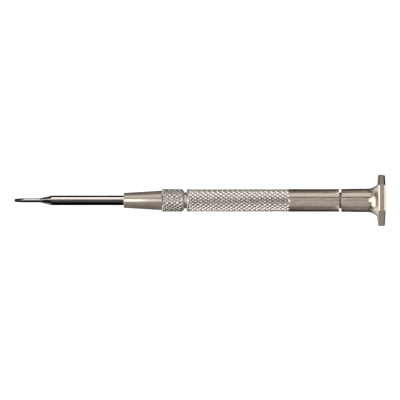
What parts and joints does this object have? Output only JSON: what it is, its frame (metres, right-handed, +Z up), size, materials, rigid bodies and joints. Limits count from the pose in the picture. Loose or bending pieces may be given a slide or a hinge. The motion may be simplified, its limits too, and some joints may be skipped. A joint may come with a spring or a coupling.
{
  "type": "watchmaker screwdriver",
  "caption": "Slim slotted screwdriver with a knurled handle, a collet chuck that grips a changeable blade, and a free-spinning hexagonal finger rest.",
  "frame": {"origin": "centre of the blade's tip edge, on the tool's axis", "axes": "+X along the tool's axis from the blade's tip to the swivel head, +Z up, away from the flat of the hexagonal head that the tool lies on, +Y completes the right-handed set"},
  "size_m": [0.0984, 0.0138, 0.012],
  "materials": {
    "nickel_plate": "satin nickel plate over turned brass",
    "polished_steel": "hardened, polished",
    "machined_steel": "turned, lightly oiled",
    "spring_steel": "tempered, slotted",
    "bronze": "turned bearing bronze"
  },
  "bodies": {
    "handle": {"handle_barrel": "nickel_plate", "chuck_stem": "machined_steel", "swivel_spindle": "machined_steel", "thrust_washer": "machined_steel"},
    "swivel_head": {"swivel_head": "nickel_plate", "retaining_bush": "bronze", "thrust_ball": "polished_steel"},
    "collet": {"collet": "spring_steel"},
    "chuck_nut": {"chuck_nut": "nickel_plate"},
    "blade": {"blade": "polished_steel"}
  },
  "joints": [
    {"name": "head_swivel", "type": "hinge", "parent": "handle", "child": "swivel_head", "pos_m": [0.0984, 0, 0], "axis": [1, 0, 0], "continuous": true},
    {"name": "collet_slide", "type": "slide", "parent": "handle", "child": "collet", "axis": [-1, 0, 0], "range_m": [0, 0.004]},
    {"name": "nut_screw", "type": "hinge", "parent": "collet", "child": "chuck_nut", "pos_m": [0.0423, 0, 0], "axis": [-1, 0, 0], "range_deg": [0, 2880.2]},
    {"name": "blade_slide", "type": "slide", "parent": "collet", "child": "blade", "axis": [-1, 0, 0], "range_m": [0, 0.022]}
  ],
  "couplings": [
    {"joint": "nut_screw", "follows": "collet_slide", "rad_per_m": 12566}
  ]
}
